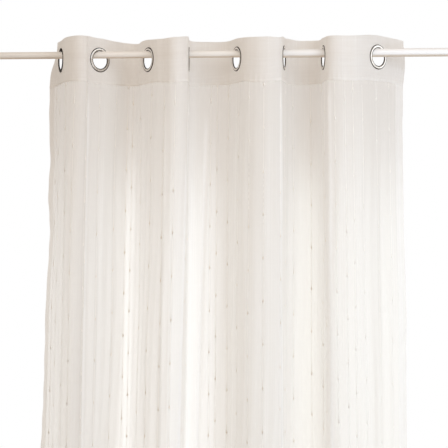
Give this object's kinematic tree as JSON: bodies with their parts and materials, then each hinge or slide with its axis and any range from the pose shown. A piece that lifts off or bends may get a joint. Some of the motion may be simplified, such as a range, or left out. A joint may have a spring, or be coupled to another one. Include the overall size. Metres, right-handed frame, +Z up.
{
  "type": "sheer voile eyelet curtain hanging on its telescopic curtain rod",
  "caption": "Sheer voile curtain panel with an eyelet heading, hanging in uneven vertical folds from a plain telescopic rod that passes through its ring eyelets.",
  "frame": {"origin": "on the rod's axis, at the middle of its length, which is the middle of the picture's width", "axes": "+X along the rod to the viewer's right, +Y away from the viewer, +Z up"},
  "size_m": [1.2, 0.1405, 2.4074],
  "materials": {
    "voile": "sheer ecru voile with vertical slub yarns and small knots",
    "heading_voile": "the same voile, doubled over a stiff tape",
    "eyelet_metal": "polished nickel plating",
    "rod_paint": "satin off-white paint"
  },
  "bodies": {
    "root": {"panel": "voile", "heading": "heading_voile", "eyelet_1": "eyelet_metal", "eyelet_2": "eyelet_metal", "eyelet_3": "eyelet_metal", "eyelet_4": "eyelet_metal", "eyelet_5": "eyelet_metal", "eyelet_6": "eyelet_metal", "eyelet_7": "eyelet_metal", "eyelet_8": "eyelet_metal", "rod_inner": "rod_paint", "rod_outer": "rod_paint"}
  },
  "joints": []
}
